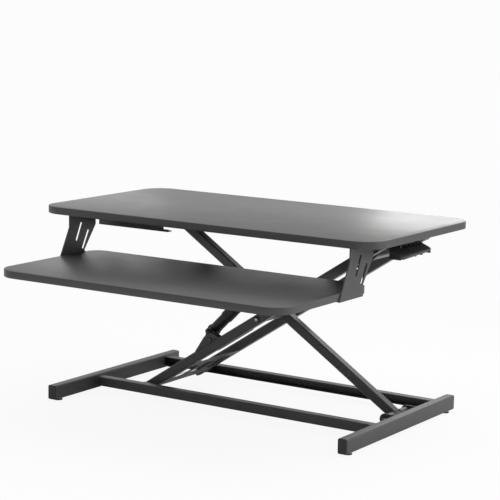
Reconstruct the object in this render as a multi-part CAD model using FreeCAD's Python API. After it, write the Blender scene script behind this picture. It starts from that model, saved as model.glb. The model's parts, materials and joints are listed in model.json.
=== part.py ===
"""Standing desk converter: a desktop and a keyboard tray on a single scissor lift.

Millimetres, +Z up. The origin is on the desk surface, at the middle of the footprint's box:
+X points to the user's right and +Y points away from the user. The lift is modelled raised.
"""
import FreeCAD, Part
import math
import os

Vec = FreeCAD.Vector
Y_AXIS = Vec(0, 1, 0)

# Boards
DESKTOP_WIDTH = 800.0
DESKTOP_FRONT = -108.0
DESKTOP_REAR = 306.0
DESKTOP_TOP = 409.0
DESKTOP_CORNER = 50.0
TRAY_WIDTH = 670.0
TRAY_FRONT = -322.0
TRAY_REAR = -1.0
TRAY_TOP = 310.0
TRAY_FRONT_CORNER = 47.0
TRAY_REAR_CORNER = 32.0
BOARD = 15.0
BOARD_EASE = 1.6

# Base frame
FOOT_OUTER_X = 362.0
FOOT_WIDTH = 20.0
FOOT_HEIGHT = 30.0
FOOT_FRONT = -123.0
FOOT_REAR = 322.0
PAD_HEIGHT = 4.0
PAD_INSET = 22.0
PAD_RADIUS = 9.0
CAP_FLANGE = 3.0
CAP_PLUG = 16.0
CROSSBAR = 20.0
CROSSBAR_OFFSET = 124.0
WALL = 1.5
CHANNEL_WALL = 2.0
BRACKET_HALF = 46.0

# Scissor lift
LIFT_Y = 153.0
PIVOT_X = 316.0
CROSSING_X = 43.0
LOWER_PIVOT_Z = 19.0
UPPER_PIVOT_Z = 374.5
ARM = 20.0
OUTER_ARM_Y = 92.0
OUTER_ARM_END = 7.0
INNER_ARM_END = 11.0
ARM_CAP = 2.0
LOWER_SLEEVE_RADIUS = 9.0
LOWER_SLEEVE_HALF = 42.0
CENTRE_SLEEVE_RADIUS = 8.4
SPRING_TUBE_RADIUS = 8.0
SPRING_TUBE_FRONT = -51.0
SPRING_TUBE_REAR = 14.0
AXLE_RADIUS = 5.0
PIN_RADIUS = 4.0
RUN = 0.05
FIT = 0.1

# Slides
SHOE_LOWER_LENGTH = 18.0
SHOE_UPPER_LENGTH = 28.0
RAIL_INNER_Y = 103.0
RAIL_WIDTH = 20.0
RAIL_BOTTOM = 359.0
RAIL_FLANGE = 14.0
RAIL_LEFT = -349.0
RAIL_RIGHT = -180.0

# Gas spring, beside the front outer arm, measured from the scissor crossing along and across the arms
SPRING_Y = -66.0
SPRING_ON_OUTER = 132.0
SPRING_OFFSET = 34.0
SPRING_ON_INNER = 62.0
CYLINDER_RADIUS = 12.0
CYLINDER_START = -10.0
CYLINDER_FLOOR = 12.0
SPRING_FOOT_RADIUS = 13.0
SPRING_FOOT_HALF = 6.0
CYLINDER_END = 62.0
CYLINDER_WALL = 1.5
SLEEVE_START = 44.0
SLEEVE_END = 99.5
SLEEVE_RADIUS = 13.5
SLEEVE_WALL = 1.4
SLEEVE_FACE = 2.0
GUIDE_LENGTH = 6.0
ROD_RADIUS = 4.0
PISTON_AT = 50.0
PISTON_LENGTH = 5.0
EYE_RADIUS = 9.0
EYE_HALF = 6.0
GUSSET_SHEET = 3.0
BOSS_RADIUS = 7.0
TIE_BOLT_ALONG = -126.5
TIE_BOLT_OFFSET = 15.0

# Tray brackets
BRACKET_SHEET = 2.5
BRACKET_FLANGE = 25.0
SLOT_RADIUS = 3.5
SADDLE_HALF = 10.0

# Release handles
PADDLE_INNER_X = 352.0
PADDLE_FRONT = 10.0
PADDLE_REAR = 140.0
PADDLE_SLOPE = 25.0
PADDLE_THICK = 6.0
PADDLE_REACH = 39.3
PADDLE_BEHIND_PIN = 9.0
PADDLE_UNDERSIDE = -0.4
PADDLE_NOTCH = 10.0
PADDLE_BOTTOM = 361.0
PADDLE_WALL = 3.0
PADDLE_PIVOT_X = 361.0
PADDLE_PIVOT_Z = 378.0
PADDLE_PIN_RADIUS = 3.0
HUB_RADIUS = 8.0
HANDLE_FRONT = 51.0
HANDLE_REAR = 125.0
CABLE_RADIUS = 2.5
CABLE_Y = -75.0
CABLE_SPACING = 5.5
CABLE_DROP = 5.5

# Fasteners
SCREW_RADIUS = 2.0
SCREW_HEAD_RADIUS = 4.2
SCREW_HEAD = 2.4
SCREW_DEPTH = 10.0
CROSS_SLOT = 1.0
AXLE_HEAD_RADIUS = 6.5
AXLE_HEAD = 3.5
AXLE_NUT = 14.0
AXLE_NUT_HEIGHT = 7.0
PIN_HEAD_RADIUS = 5.2
PIN_HEAD = 3.0
PIN_NUT = 13.0
TIE_HEAD_RADIUS = 4.6
TIE_HEAD = 2.6
TIE_BOLT_RADIUS = 3.0
TIE_NUT = 10.0
TIE_NUT_HEIGHT = 5.0

# Lower tie plate of the outer arms, measured from the lower end of the arms
PLATE_NEAR = 14.0
PLATE_FAR = 126.0
PLATE_SHEET = 2.0
PLATE_WINDOW_Y = 59.0
PLATE_WINDOW_WIDTH = 42.0
PLATE_WINDOW_START = 42.0
PLATE_WINDOW_END = 104.0
PLATE_WINDOW_CORNER = 14.0

# Derived places
DESKTOP_UNDER = DESKTOP_TOP - BOARD
TRAY_UNDER = TRAY_TOP - BOARD
FOOT_INNER_X = FOOT_OUTER_X - FOOT_WIDTH
CROSSING_Z = (LOWER_PIVOT_Z + UPPER_PIVOT_Z) / 2
ARM_HALF = math.hypot(PIVOT_X - CROSSING_X, CROSSING_Z - LOWER_PIVOT_Z)
ARM_ANGLE = math.degrees(math.atan2(CROSSING_Z - LOWER_PIVOT_Z, PIVOT_X - CROSSING_X))
SLIDE_X = 2 * CROSSING_X - PIVOT_X
OUTER_ARM_OUT = OUTER_ARM_Y + ARM / 2
OUTER_ARM_IN = OUTER_ARM_Y - ARM / 2
SIDES = (-1, 1)


# Basic solids

def box(x0, x1, y0, y1, z0, z1):
    """Box between two corners, given in any order."""
    size = [abs(x1 - x0), abs(y1 - y0), abs(z1 - z0)]
    corner = Vec(min(x0, x1), min(y0, y1), min(z0, z1))
    return Part.makeBox(*size, corner)


def cylinder(start, end, radius):
    """Round bar between two points."""
    axis = end.sub(start)
    return Part.makeCylinder(radius, axis.Length, start, axis)


def cross_rod(x, z, radius, y0, y1):
    """Round bar that lies across the lift, parallel to Y."""
    return cylinder(Vec(x, min(y0, y1), z), Vec(x, max(y0, y1), z), radius)


def cross_ring(x, z, outer, inner, y0, y1):
    """Round tube that lies across the lift."""
    return cross_rod(x, z, outer, y0, y1).cut(cross_rod(x, z, inner, y0 - 1, y1 + 1))


def across(offset):
    """Y of a place at a given distance from the middle plane of the lift."""
    return LIFT_Y + offset


def pair(make):
    """The same piece in front of and behind the middle plane of the lift."""
    return Part.makeCompound([make(side) for side in SIDES])


def rounded_box(length, width, height, radius):
    """Bar along +X from the origin, centred in Y and Z, with rounded long edges."""
    bar = box(0, length, -width / 2, width / 2, -height / 2, height / 2)
    edges = [edge for edge in bar.Edges if abs(edge.tangentAt(0).x) > 0.99]
    return bar.makeFillet(radius, edges)


def tube(length, width, height, wall):
    """Rectangular tube along +X from the origin."""
    outside = rounded_box(length, width, height, 2 * wall)
    bore = rounded_box(length + 2, width - 2 * wall, height - 2 * wall, wall)
    bore.translate(Vec(-1, 0, 0))
    return outside.cut(bore)


def on_outer_arm(shape):
    """Place a piece made along the outer arms: origin at the crossing, +X up the arm."""
    shape.rotate(Vec(0, 0, 0), Y_AXIS, -ARM_ANGLE)
    shape.translate(Vec(CROSSING_X, LIFT_Y, CROSSING_Z))
    return shape


def on_inner_arm(shape):
    """Place a piece made along the inner arm: origin at the crossing, +X up the arm."""
    shape.rotate(Vec(0, 0, 0), Y_AXIS, ARM_ANGLE - 180)
    shape.translate(Vec(CROSSING_X, LIFT_Y, CROSSING_Z))
    return shape


def prism(points, thickness, direction):
    """Flat plate from an outline of points, extruded along a direction."""
    outline = Part.makePolygon([Vec(*point) for point in points + points[:1]])
    return Part.Face(outline).extrude(Vec(*direction).multiply(thickness))


def hexagon(x, z, across_flats, y0, y1):
    """Hexagonal nut blank across the lift."""
    radius = across_flats / math.sqrt(3)
    corners = [math.radians(60 * i + 30) for i in range(6)]
    points = [(x + radius * math.cos(a), y0, z + radius * math.sin(a)) for a in corners]
    return prism(points, y1 - y0, (0, 1, 0))


def nut(x, z, across_flats, bore, y0, y1):
    """Hexagonal nut on a cross bolt."""
    return hexagon(x, z, across_flats, y0, y1).cut(cross_rod(x, z, bore, y0 - 1, y1 + 1))


def bolt(x, z, radius, head_y, tip_y, head_radius, head_height):
    """Bolt across the lift, with a domed round head with a hexagonal socket beyond head_y."""
    away = 1 if head_y > tip_y else -1
    crown = head_y + away * head_height
    head = cross_rod(x, z, head_radius, head_y, crown)
    rim = [edge for edge in head.Edges if abs(edge.CenterOfMass.y - crown) < 0.01]
    head = head.makeFillet(head_height * 0.55, rim)
    floor = head_y + away * head_height * 0.4
    socket = hexagon(x, z, radius, *sorted((floor, crown + away)))
    return cross_rod(x, z, radius, head_y, tip_y).fuse(head).cut(socket)


def board(width, front, rear, top, front_corner, rear_corner):
    """Board with rounded corners and eased edges."""
    plank = box(-width / 2, width / 2, front, rear, top - BOARD, top)
    for y, corner in ((front, front_corner), (rear, rear_corner)):
        upright = [edge for edge in plank.Edges if abs(edge.tangentAt(0).z) > 0.99]
        plank = plank.makeFillet(corner, [edge for edge in upright if abs(edge.CenterOfMass.y - y) < 0.01])
    flat = [face for face in plank.Faces if abs(face.normalAt(0, 0).z) > 0.99]
    return plank.makeFillet(BOARD_EASE, [edge for face in flat for edge in face.Edges])


def screw_up(place):
    """Screw driven upwards, with its head against the face at the given place."""
    x, y, z = place
    head = cylinder(Vec(x, y, z - SCREW_HEAD), Vec(x, y, z), SCREW_HEAD_RADIUS)
    rim = [edge for edge in head.Edges if edge.CenterOfMass.z < z - SCREW_HEAD + 0.01]
    head = head.makeChamfer(SCREW_HEAD * 0.4, rim)
    shank = cylinder(Vec(x, y, z), Vec(x, y, z + BRACKET_SHEET + SCREW_DEPTH), SCREW_RADIUS)
    screw = head.fuse(shank)
    for half_x, half_y in ((SCREW_RADIUS, CROSS_SLOT / 2), (CROSS_SLOT / 2, SCREW_RADIUS)):
        slot_bar = box(x - half_x, x + half_x, y - half_y, y + half_y, z - SCREW_HEAD, z - SCREW_HEAD / 2)
        screw = screw.cut(slot_bar)
    return screw


def screw_holes(places):
    """Clearance for screws driven upwards."""
    top = BRACKET_SHEET + SCREW_DEPTH + 0.5
    holes = [cylinder(Vec(x, y, z - 1), Vec(x, y, z + top), SCREW_RADIUS + FIT) for x, y, z in places]
    return Part.makeCompound(holes)


# Screw places under the boards, each at the face that the head bears on
UNDER_SHEET = DESKTOP_UNDER - BRACKET_SHEET
RAIL_SCREWS = [(x, across(side * (RAIL_INNER_Y + RAIL_WIDTH + RAIL_FLANGE / 2)), UNDER_SHEET)
               for x in (RAIL_LEFT + 12, (RAIL_LEFT + RAIL_RIGHT) / 2, RAIL_RIGHT - 12) for side in SIDES]
PIVOT_SCREWS = [(PIVOT_X + shift, across(side * (OUTER_ARM_Y + away)), UNDER_SHEET)
                for shift in (-9, 9) for side in SIDES for away in (-20, 20)]
BRACKET_TOP_SCREWS = [(side * (TRAY_WIDTH / 2 - 14), y, UNDER_SHEET)
                      for side in SIDES for y in (-70, -14)]
BRACKET_TRAY_SCREWS = [(side * (TRAY_WIDTH / 2 - 14), y, TRAY_UNDER - BRACKET_SHEET)
                       for side in SIDES for y in (-106, -50)]
HANDLE_SCREWS = [(side * (PADDLE_PIVOT_X + 3), y, UNDER_SHEET)
                 for side in SIDES for y in (HANDLE_FRONT - 8, HANDLE_REAR + 8)]


# Base frame

def foot_tube(side):
    length = FOOT_REAR - FOOT_FRONT - 2 * CAP_FLANGE
    shape = tube(length, FOOT_WIDTH, FOOT_HEIGHT, WALL)
    shape.rotate(Vec(0, 0, 0), Vec(0, 0, 1), 90)
    middle = side * (FOOT_OUTER_X - FOOT_WIDTH / 2)
    shape.translate(Vec(middle, FOOT_FRONT + CAP_FLANGE, PAD_HEIGHT + FOOT_HEIGHT / 2))
    for y in (FOOT_FRONT + PAD_INSET, FOOT_REAR - PAD_INSET):
        stud = cylinder(Vec(middle, y, 0), Vec(middle, y, PAD_HEIGHT + 4), 3 + FIT)
        shape = shape.cut(stud)
    return shape


def foot_end_cap(side, y, outward):
    middle = side * (FOOT_OUTER_X - FOOT_WIDTH / 2)
    flange = rounded_box(CAP_FLANGE, FOOT_WIDTH, FOOT_HEIGHT, 3)
    outer_face = [edge for edge in flange.Edges if edge.CenterOfMass.x < 0.01]
    flange = flange.makeFillet(1.2, outer_face)
    plug = rounded_box(CAP_PLUG, FOOT_WIDTH - 2 * WALL - 0.2, FOOT_HEIGHT - 2 * WALL - 0.2, 1.2)
    hollow = rounded_box(CAP_PLUG, FOOT_WIDTH - 2 * WALL - 4, FOOT_HEIGHT - 2 * WALL - 4, 1)
    hollow.translate(Vec(CAP_FLANGE + 1, 0, 0))
    plug.translate(Vec(CAP_FLANGE - 1, 0, 0))
    shape = flange.fuse(plug).cut(hollow)
    shape.rotate(Vec(0, 0, 0), Vec(0, 0, 1), -90 * outward)
    shape.translate(Vec(middle, y, PAD_HEIGHT + FOOT_HEIGHT / 2))
    return shape


def foot_pad_places():
    middle = FOOT_OUTER_X - FOOT_WIDTH / 2
    rows = (FOOT_FRONT + PAD_INSET, FOOT_REAR - PAD_INSET)
    return [(side * middle, y) for side in SIDES for y in rows]


def foot_pad(x, y):
    pad = Part.makeCone(PAD_RADIUS, PAD_RADIUS - 1.5, PAD_HEIGHT - 1, Vec(x, y, 0))
    return pad.cut(cylinder(Vec(x, y, 1), Vec(x, y, PAD_HEIGHT), 3 + FIT))


def foot_stud(x, y):
    washer = cylinder(Vec(x, y, PAD_HEIGHT - 1), Vec(x, y, PAD_HEIGHT), PAD_RADIUS - 1.5)
    shank = cylinder(Vec(x, y, 1), Vec(x, y, PAD_HEIGHT + 8), 3)
    return washer.fuse(shank)


def crossbar(side):
    """Channel between the feet, open towards the middle of the lift."""
    middle = across(side * CROSSBAR_OFFSET)
    bar = rounded_box(2 * FOOT_INNER_X, CROSSBAR, CROSSBAR, 2)
    bore = rounded_box(2 * FOOT_INNER_X + 2, CROSSBAR, CROSSBAR - 2 * CHANNEL_WALL, 0.8)
    bore.translate(Vec(-1, -side * CHANNEL_WALL, 0))
    bar = bar.cut(bore)
    bar.translate(Vec(-FOOT_INNER_X, middle, LOWER_PIVOT_Z))
    return bar


def lower_pivot_bracket():
    """Bracket on the right foot, with an ear at each end of the inner arm's pivot tube."""
    low, high = LOWER_PIVOT_Z - 12, LOWER_PIVOT_Z + 12
    web_face = FOOT_INNER_X - 3
    shape = box(web_face, FOOT_INNER_X, across(-BRACKET_HALF), across(BRACKET_HALF), low, high)
    for side in SIDES:
        faces = (across(side * BRACKET_HALF), across(side * (BRACKET_HALF - 3)))
        plate = box(PIVOT_X, web_face, *faces, low, high)
        tip = cross_rod(PIVOT_X, LOWER_PIVOT_Z, 12, *faces)
        shape = shape.fuse([plate, tip])
    return shape.cut(cross_rod(PIVOT_X, LOWER_PIVOT_Z, AXLE_RADIUS + FIT, across(-60), across(60)))


# Inner arm

def inner_arm_tube():
    """Square tube, coped at its lower end round the pivot sleeve that it is welded to."""
    start = -ARM_HALF + 3
    bar = tube(2 * ARM_HALF - 3 + INNER_ARM_END, ARM, ARM, WALL)
    bar.translate(Vec(start, 0, 0))
    bores = ((-ARM_HALF, LOWER_SLEEVE_RADIUS + RUN), (0, CENTRE_SLEEVE_RADIUS + FIT),
             (ARM_HALF, AXLE_RADIUS + FIT), (SPRING_ON_INNER, SPRING_TUBE_RADIUS + FIT))
    for along, radius in bores:
        bar = bar.cut(cross_rod(along, 0, radius, -ARM, ARM))
    return on_inner_arm(bar)


def inner_arm_sleeve(along, half_length, outer, inner):
    return on_inner_arm(cross_ring(along, 0, outer, inner, -half_length, half_length))


def arm_end_cap(beyond):
    """Plug for the end of an arm tube that goes on by a distance beyond its last pivot, at the origin."""
    depth = 10.0
    plug = rounded_box(depth, ARM - 2 * WALL - 2 * FIT, ARM - 2 * WALL - 2 * FIT, 1.2)
    plug = plug.cut(box(-1, depth - 4, -6, 6, -6, 6))
    flange = rounded_box(ARM_CAP, ARM, ARM, 2 * WALL)
    flange.translate(Vec(depth, 0, 0))
    cap = plug.fuse(flange)
    cap.translate(Vec(beyond - depth, 0, 0))
    return cap.cut(cross_rod(0, 0, AXLE_RADIUS + 0.6, -ARM, ARM))


def inner_arm_spring_tube():
    """Cross tube that carries the upper end of the spring."""
    return on_inner_arm(cross_ring(SPRING_ON_INNER, 0, SPRING_TUBE_RADIUS, PIN_RADIUS,
                                   SPRING_TUBE_FRONT, SPRING_TUBE_REAR))


def inner_arm_lower_sleeve():
    return inner_arm_sleeve(-ARM_HALF, LOWER_SLEEVE_HALF, LOWER_SLEEVE_RADIUS, AXLE_RADIUS + RUN)


def inner_arm_centre_sleeve():
    return inner_arm_sleeve(0, OUTER_ARM_IN - 1, CENTRE_SLEEVE_RADIUS, AXLE_RADIUS + RUN)


def inner_arm_end_cap():
    cap = arm_end_cap(INNER_ARM_END)
    cap.translate(Vec(ARM_HALF, 0, 0))
    return on_inner_arm(cap)


# Outer arms

def outer_arm(side):
    bar = tube(2 * (ARM_HALF + OUTER_ARM_END), ARM, ARM, WALL)
    bar.translate(Vec(-ARM_HALF - OUTER_ARM_END, side * OUTER_ARM_Y, 0))
    for along in (-ARM_HALF, 0, ARM_HALF):
        hole = cross_rod(along, 0, AXLE_RADIUS + FIT, side * OUTER_ARM_Y - ARM, side * OUTER_ARM_Y + ARM)
        bar = bar.cut(hole)
    return on_outer_arm(bar)


def outer_arm_end_caps():
    caps = []
    for side in SIDES:
        for turn in (0, 180):
            cap = arm_end_cap(OUTER_ARM_END)
            cap.translate(Vec(ARM_HALF, 0, 0))
            cap.rotate(Vec(0, 0, 0), Y_AXIS, turn)
            cap.translate(Vec(0, side * OUTER_ARM_Y, 0))
            caps.append(on_outer_arm(cap))
    return Part.makeCompound(caps)


def gusset_plate(outline, bolt_hole, y):
    """Plate that stands on the top face of an outer arm, with a bolt hole in its foot."""
    plate = prism([(along, y, up) for along, up in outline], GUSSET_SHEET, (0, 1, 0))
    return plate.cut(cross_rod(*bolt_hole, y - 1, y + GUSSET_SHEET + 1))


def spring_gusset():
    """On the front outer arm: a tall inner plate with a boss for the spring's pin, and a low outer plate."""
    low = ((-176, 10), (-138, 27), (-118, 27), (-106, 10))
    tall = ((-176, 10), (-141, 34), (-126, 34), (-108, 10))
    tie = (TIE_BOLT_ALONG, TIE_BOLT_OFFSET, TIE_BOLT_RADIUS + FIT)
    outer_plate = gusset_plate(low, tie, -OUTER_ARM_OUT)
    back = -OUTER_ARM_IN - GUSSET_SHEET
    inner_plate = gusset_plate(tall, tie, back)
    pin = (-SPRING_ON_OUTER, SPRING_OFFSET)
    boss = cross_rod(*pin, BOSS_RADIUS, back, SPRING_Y - CYLINDER_RADIUS - 0.5)
    inner_plate = inner_plate.fuse(boss).cut(cross_rod(*pin, PIN_RADIUS + FIT, back - 1, 0))
    return on_outer_arm(Part.makeCompound([outer_plate, inner_plate]))


def gusset_bolt():
    """Bolt through both plates of the gusset, with its head outside."""
    return bolt(TIE_BOLT.x, TIE_BOLT.z, TIE_BOLT_RADIUS, across(-OUTER_ARM_OUT),
                across(TIE_NUT_HEIGHT - OUTER_ARM_IN), TIE_HEAD_RADIUS, TIE_HEAD)


def gusset_bolt_nut():
    return nut(TIE_BOLT.x, TIE_BOLT.z, TIE_NUT, TIE_BOLT_RADIUS, across(-OUTER_ARM_IN),
               across(TIE_NUT_HEIGHT - OUTER_ARM_IN))


def outer_arm_lower_plate():
    """Tie plate under the lower ends of the outer arms, with three windows in a row."""
    bottom = -ARM / 2
    plate = box(PLATE_NEAR, PLATE_FAR, -OUTER_ARM_IN, OUTER_ARM_IN, bottom, bottom + PLATE_SHEET)
    for y in (-PLATE_WINDOW_Y, 0, PLATE_WINDOW_Y):
        window = box(PLATE_WINDOW_START, PLATE_WINDOW_END, y - PLATE_WINDOW_WIDTH / 2,
                     y + PLATE_WINDOW_WIDTH / 2, bottom - 1, bottom + PLATE_SHEET + 1)
        upright = [edge for edge in window.Edges if abs(edge.tangentAt(0).z) > 0.99]
        plate = plate.cut(window.makeFillet(PLATE_WINDOW_CORNER, upright))
    plate.translate(Vec(-ARM_HALF, 0, 0))
    return on_outer_arm(plate)


def outer_arm_upper_tie():
    tie = tube(2 * OUTER_ARM_IN, ARM, ARM, WALL)
    tie.rotate(Vec(0, 0, 0), Vec(0, 0, 1), 90)
    tie.translate(Vec(ARM_HALF - 46, -OUTER_ARM_IN, 0))
    return on_outer_arm(tie)


# Gas spring: made along +X from the lower pin, then turned to the line between the pins

def arm_point(angle, along, offset=0.0):
    """Point at a distance from the crossing on an arm that leans at an angle."""
    a = math.radians(angle)
    x = along * math.cos(a) - offset * math.sin(a)
    z = along * math.sin(a) + offset * math.cos(a)
    return Vec(CROSSING_X + x, 0, CROSSING_Z + z)


TIE_BOLT = arm_point(ARM_ANGLE, TIE_BOLT_ALONG, TIE_BOLT_OFFSET)
SPRING_FOOT = arm_point(ARM_ANGLE, -SPRING_ON_OUTER, SPRING_OFFSET)
SPRING_HEAD = arm_point(180 - ARM_ANGLE, SPRING_ON_INNER)
SPRING_LENGTH = SPRING_HEAD.sub(SPRING_FOOT).Length
SPRING_ANGLE = math.degrees(math.atan2(SPRING_HEAD.z - SPRING_FOOT.z, SPRING_HEAD.x - SPRING_FOOT.x))


def on_spring(shape):
    shape.rotate(Vec(0, 0, 0), Y_AXIS, -SPRING_ANGLE)
    shape.translate(Vec(SPRING_FOOT.x, across(SPRING_Y), SPRING_FOOT.z))
    return shape


def along_spring(start, end, radius):
    return cylinder(Vec(start, 0, 0), Vec(end, 0, 0), radius)


def gas_cylinder():
    """Cylinder with a solid rounded foot that the lower pin passes through."""
    body = along_spring(CYLINDER_START, CYLINDER_END, CYLINDER_RADIUS)
    body = body.makeFillet(3, [edge for edge in body.Edges if edge.CenterOfMass.x < CYLINDER_START + 1])
    body = body.fuse(cross_rod(0, 0, SPRING_FOOT_RADIUS, -SPRING_FOOT_HALF, SPRING_FOOT_HALF))
    bore = along_spring(CYLINDER_FLOOR, CYLINDER_END + 1, CYLINDER_RADIUS - CYLINDER_WALL)
    pin_hole = cross_rod(0, 0, PIN_RADIUS + RUN, -CYLINDER_RADIUS - 1, CYLINDER_RADIUS + 1)
    return on_spring(body.cut(bore).cut(pin_hole))


def gas_rod_guide():
    ring = along_spring(CYLINDER_END - GUIDE_LENGTH, CYLINDER_END, CYLINDER_RADIUS - CYLINDER_WALL)
    return on_spring(ring.cut(along_spring(0, CYLINDER_END + 5, ROD_RADIUS + RUN)))


def gas_rod():
    rod = along_spring(PISTON_AT, SPRING_LENGTH - EYE_RADIUS + 2, ROD_RADIUS)
    eye = cross_ring(SPRING_LENGTH, 0, EYE_RADIUS, PIN_RADIUS + FIT, -EYE_HALF, EYE_HALF)
    return on_spring(rod.fuse(eye))


def gas_piston():
    half = PISTON_LENGTH / 2
    ring = along_spring(PISTON_AT - half, PISTON_AT + half, CYLINDER_RADIUS - CYLINDER_WALL - RUN)
    return on_spring(ring.cut(along_spring(PISTON_AT, PISTON_AT + PISTON_LENGTH, ROD_RADIUS)))


def spring_sleeve():
    """Dust sleeve on the rod: it slides over the cylinder as the spring shortens."""
    shell = along_spring(SLEEVE_START, SLEEVE_END, SLEEVE_RADIUS)
    far_rim = [edge for edge in shell.Edges if edge.CenterOfMass.x > SLEEVE_END - 0.01]
    shell = shell.makeFillet(1.2, far_rim)
    inside = along_spring(SLEEVE_START - 1, SLEEVE_END - SLEEVE_FACE, SLEEVE_RADIUS - SLEEVE_WALL)
    rod_hole = along_spring(SLEEVE_START, SLEEVE_END + 1, ROD_RADIUS)
    return on_spring(shell.cut(inside).cut(rod_hole))


def spring_pin():
    """Bolt of the spring's lower pivot: its head is inside, and its tip is between the gusset plates."""
    return bolt(SPRING_FOOT.x, SPRING_FOOT.z, PIN_RADIUS, across(SPRING_Y + CYLINDER_RADIUS + 0.5),
                across(-OUTER_ARM_IN - GUSSET_SHEET - AXLE_NUT_HEIGHT), PIN_HEAD_RADIUS, PIN_HEAD)


def spring_pin_nut():
    back = -OUTER_ARM_IN - GUSSET_SHEET
    return nut(SPRING_FOOT.x, SPRING_FOOT.z, PIN_NUT, PIN_RADIUS,
               across(back - AXLE_NUT_HEIGHT + 1), across(back))


def rod_eye_bolt():
    """Bolt of the open upper pivot: it ends just clear of the inner arm's cross tube."""
    return bolt(SPRING_HEAD.x, SPRING_HEAD.z, PIN_RADIUS, across(SPRING_Y - EYE_HALF - 0.5),
                across(SPRING_TUBE_FRONT - 1), PIN_HEAD_RADIUS, PIN_HEAD)


# Slides

def lower_shoe(side):
    """Nylon block that runs inside a crossbar channel."""
    half = SHOE_LOWER_LENGTH / 2
    reach = CROSSBAR / 2 - CHANNEL_WALL - RUN
    block = box(SLIDE_X - half, SLIDE_X + half, across(side * (OUTER_ARM_OUT + 2)), across(side * 131),
                LOWER_PIVOT_Z - reach, LOWER_PIVOT_Z + reach)
    hole = cross_rod(SLIDE_X, LOWER_PIVOT_Z, AXLE_RADIUS + RUN, across(side * 90), across(side * 140))
    return block.cut(hole)


def upper_shoe(side):
    """Nylon block that runs inside a desktop rail."""
    half = SHOE_UPPER_LENGTH / 2
    block = box(SLIDE_X - half, SLIDE_X + half, across(side * (RAIL_INNER_Y - 8)), across(side * 120),
                RAIL_BOTTOM + CHANNEL_WALL + RUN, DESKTOP_UNDER - CHANNEL_WALL - RUN)
    relief = box(SLIDE_X - half - 1, SLIDE_X + half + 1, across(side * 80), across(side * (RAIL_INNER_Y + 1)),
                 UPPER_PIVOT_Z + 9, DESKTOP_UNDER)
    hole = cross_rod(SLIDE_X, UPPER_PIVOT_Z, AXLE_RADIUS + RUN, across(side * 80), across(side * 130))
    return block.cut(relief).cut(hole)


def slide_rail(side):
    """Channel under the desktop, open towards the middle of the lift."""
    near, far = across(side * RAIL_INNER_Y), across(side * (RAIL_INNER_Y + RAIL_WIDTH))
    floor = RAIL_BOTTOM + CHANNEL_WALL
    shell = box(RAIL_LEFT, RAIL_RIGHT, near, far, RAIL_BOTTOM, DESKTOP_UNDER)
    bore = box(RAIL_LEFT - 1, RAIL_RIGHT + 1, near - side, far - side * CHANNEL_WALL,
               floor, DESKTOP_UNDER - CHANNEL_WALL)
    tongue = box(RAIL_RIGHT, RAIL_RIGHT + 12, far, far - side * 14, RAIL_BOTTOM, floor)
    flange = box(RAIL_LEFT, RAIL_RIGHT, far, far + side * RAIL_FLANGE, UNDER_SHEET, DESKTOP_UNDER)
    return shell.cut(bore).fuse([tongue, flange]).cut(screw_holes(RAIL_SCREWS))


# Desktop fittings

def upper_pivot_bracket(side):
    """Saddle under the desktop that holds the top end of one outer arm."""
    middle = side * OUTER_ARM_Y
    inner = ARM / 2 + 1
    half = SADDLE_HALF
    plate = box(PIVOT_X - half - 5, PIVOT_X + half + 5, across(middle - 28), across(middle + 28),
                UNDER_SHEET, DESKTOP_UNDER)
    for way in SIDES:
        faces = (across(middle + way * inner), across(middle + way * (inner + BRACKET_SHEET)))
        ear = box(PIVOT_X - half, PIVOT_X + half, *faces, UPPER_PIVOT_Z, UNDER_SHEET)
        tip = cross_rod(PIVOT_X, UPPER_PIVOT_Z, half, *faces)
        plate = plate.fuse([ear, tip])
    hole = cross_rod(PIVOT_X, UPPER_PIVOT_Z, AXLE_RADIUS + RUN, across(middle - 40), across(middle + 40))
    return plate.cut(hole).cut(screw_holes(PIVOT_SCREWS))


def upper_pivot_bolt(side):
    middle = side * OUTER_ARM_Y
    return bolt(PIVOT_X, UPPER_PIVOT_Z, AXLE_RADIUS, across(middle + side * (ARM / 2 + 1 + BRACKET_SHEET)),
                across(middle - side * 22), AXLE_HEAD_RADIUS, AXLE_HEAD)


def upper_pivot_nut(side):
    start = across(side * (OUTER_ARM_Y - ARM / 2 - 1 - BRACKET_SHEET))
    faces = sorted((start, start - side * AXLE_NUT_HEIGHT))
    return nut(PIVOT_X, UPPER_PIVOT_Z, AXLE_NUT, AXLE_RADIUS, *faces)


def slot(y0, z0, y1, z1, x0, x1):
    """Straight slot with round ends through a tray bracket."""
    length = math.hypot(y1 - y0, z1 - z0)
    cut = box(x0, x1, 0, length, -SLOT_RADIUS, SLOT_RADIUS)
    for y in (0, length):
        cut = cut.fuse(cylinder(Vec(x0, y, 0), Vec(x1, y, 0), SLOT_RADIUS))
    cut.rotate(Vec(0, 0, 0), Vec(1, 0, 0), math.degrees(math.atan2(z1 - z0, y1 - y0)))
    cut.translate(Vec(0, y0, z0))
    return cut


def tray_bracket(side):
    """Sheet bracket: a flange under the desktop, a slotted side plate, a flange under the tray."""
    inner = TRAY_WIDTH / 2
    outer = inner + BRACKET_SHEET
    bottom = TRAY_UNDER - BRACKET_SHEET
    top = DESKTOP_UNDER
    outline = [(-86, top), (-86, 366), (-123, bottom), (-34, bottom),
               (-34, 311), (-37, 313), (1, 364), (1, top)]
    plate = prism([(side * inner, y, z) for y, z in outline], BRACKET_SHEET, (side, 0, 0))
    reach = side * (inner - BRACKET_FLANGE)
    upper = box(reach, side * inner, -86, 1, UNDER_SHEET, top)
    lower = box(reach, side * inner, -119, -34, bottom, TRAY_UNDER)
    shape = plate.fuse([upper, lower])
    through = (side * (inner - 1), side * (outer + 1))
    shape = shape.cut(slot(-47, 371, -62, 338, *sorted(through)))
    shape = shape.cut(slot(-24, 352, -41, 319, *sorted(through)))
    return shape.cut(screw_holes(BRACKET_TOP_SCREWS + BRACKET_TRAY_SCREWS))


# Release handles

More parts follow.
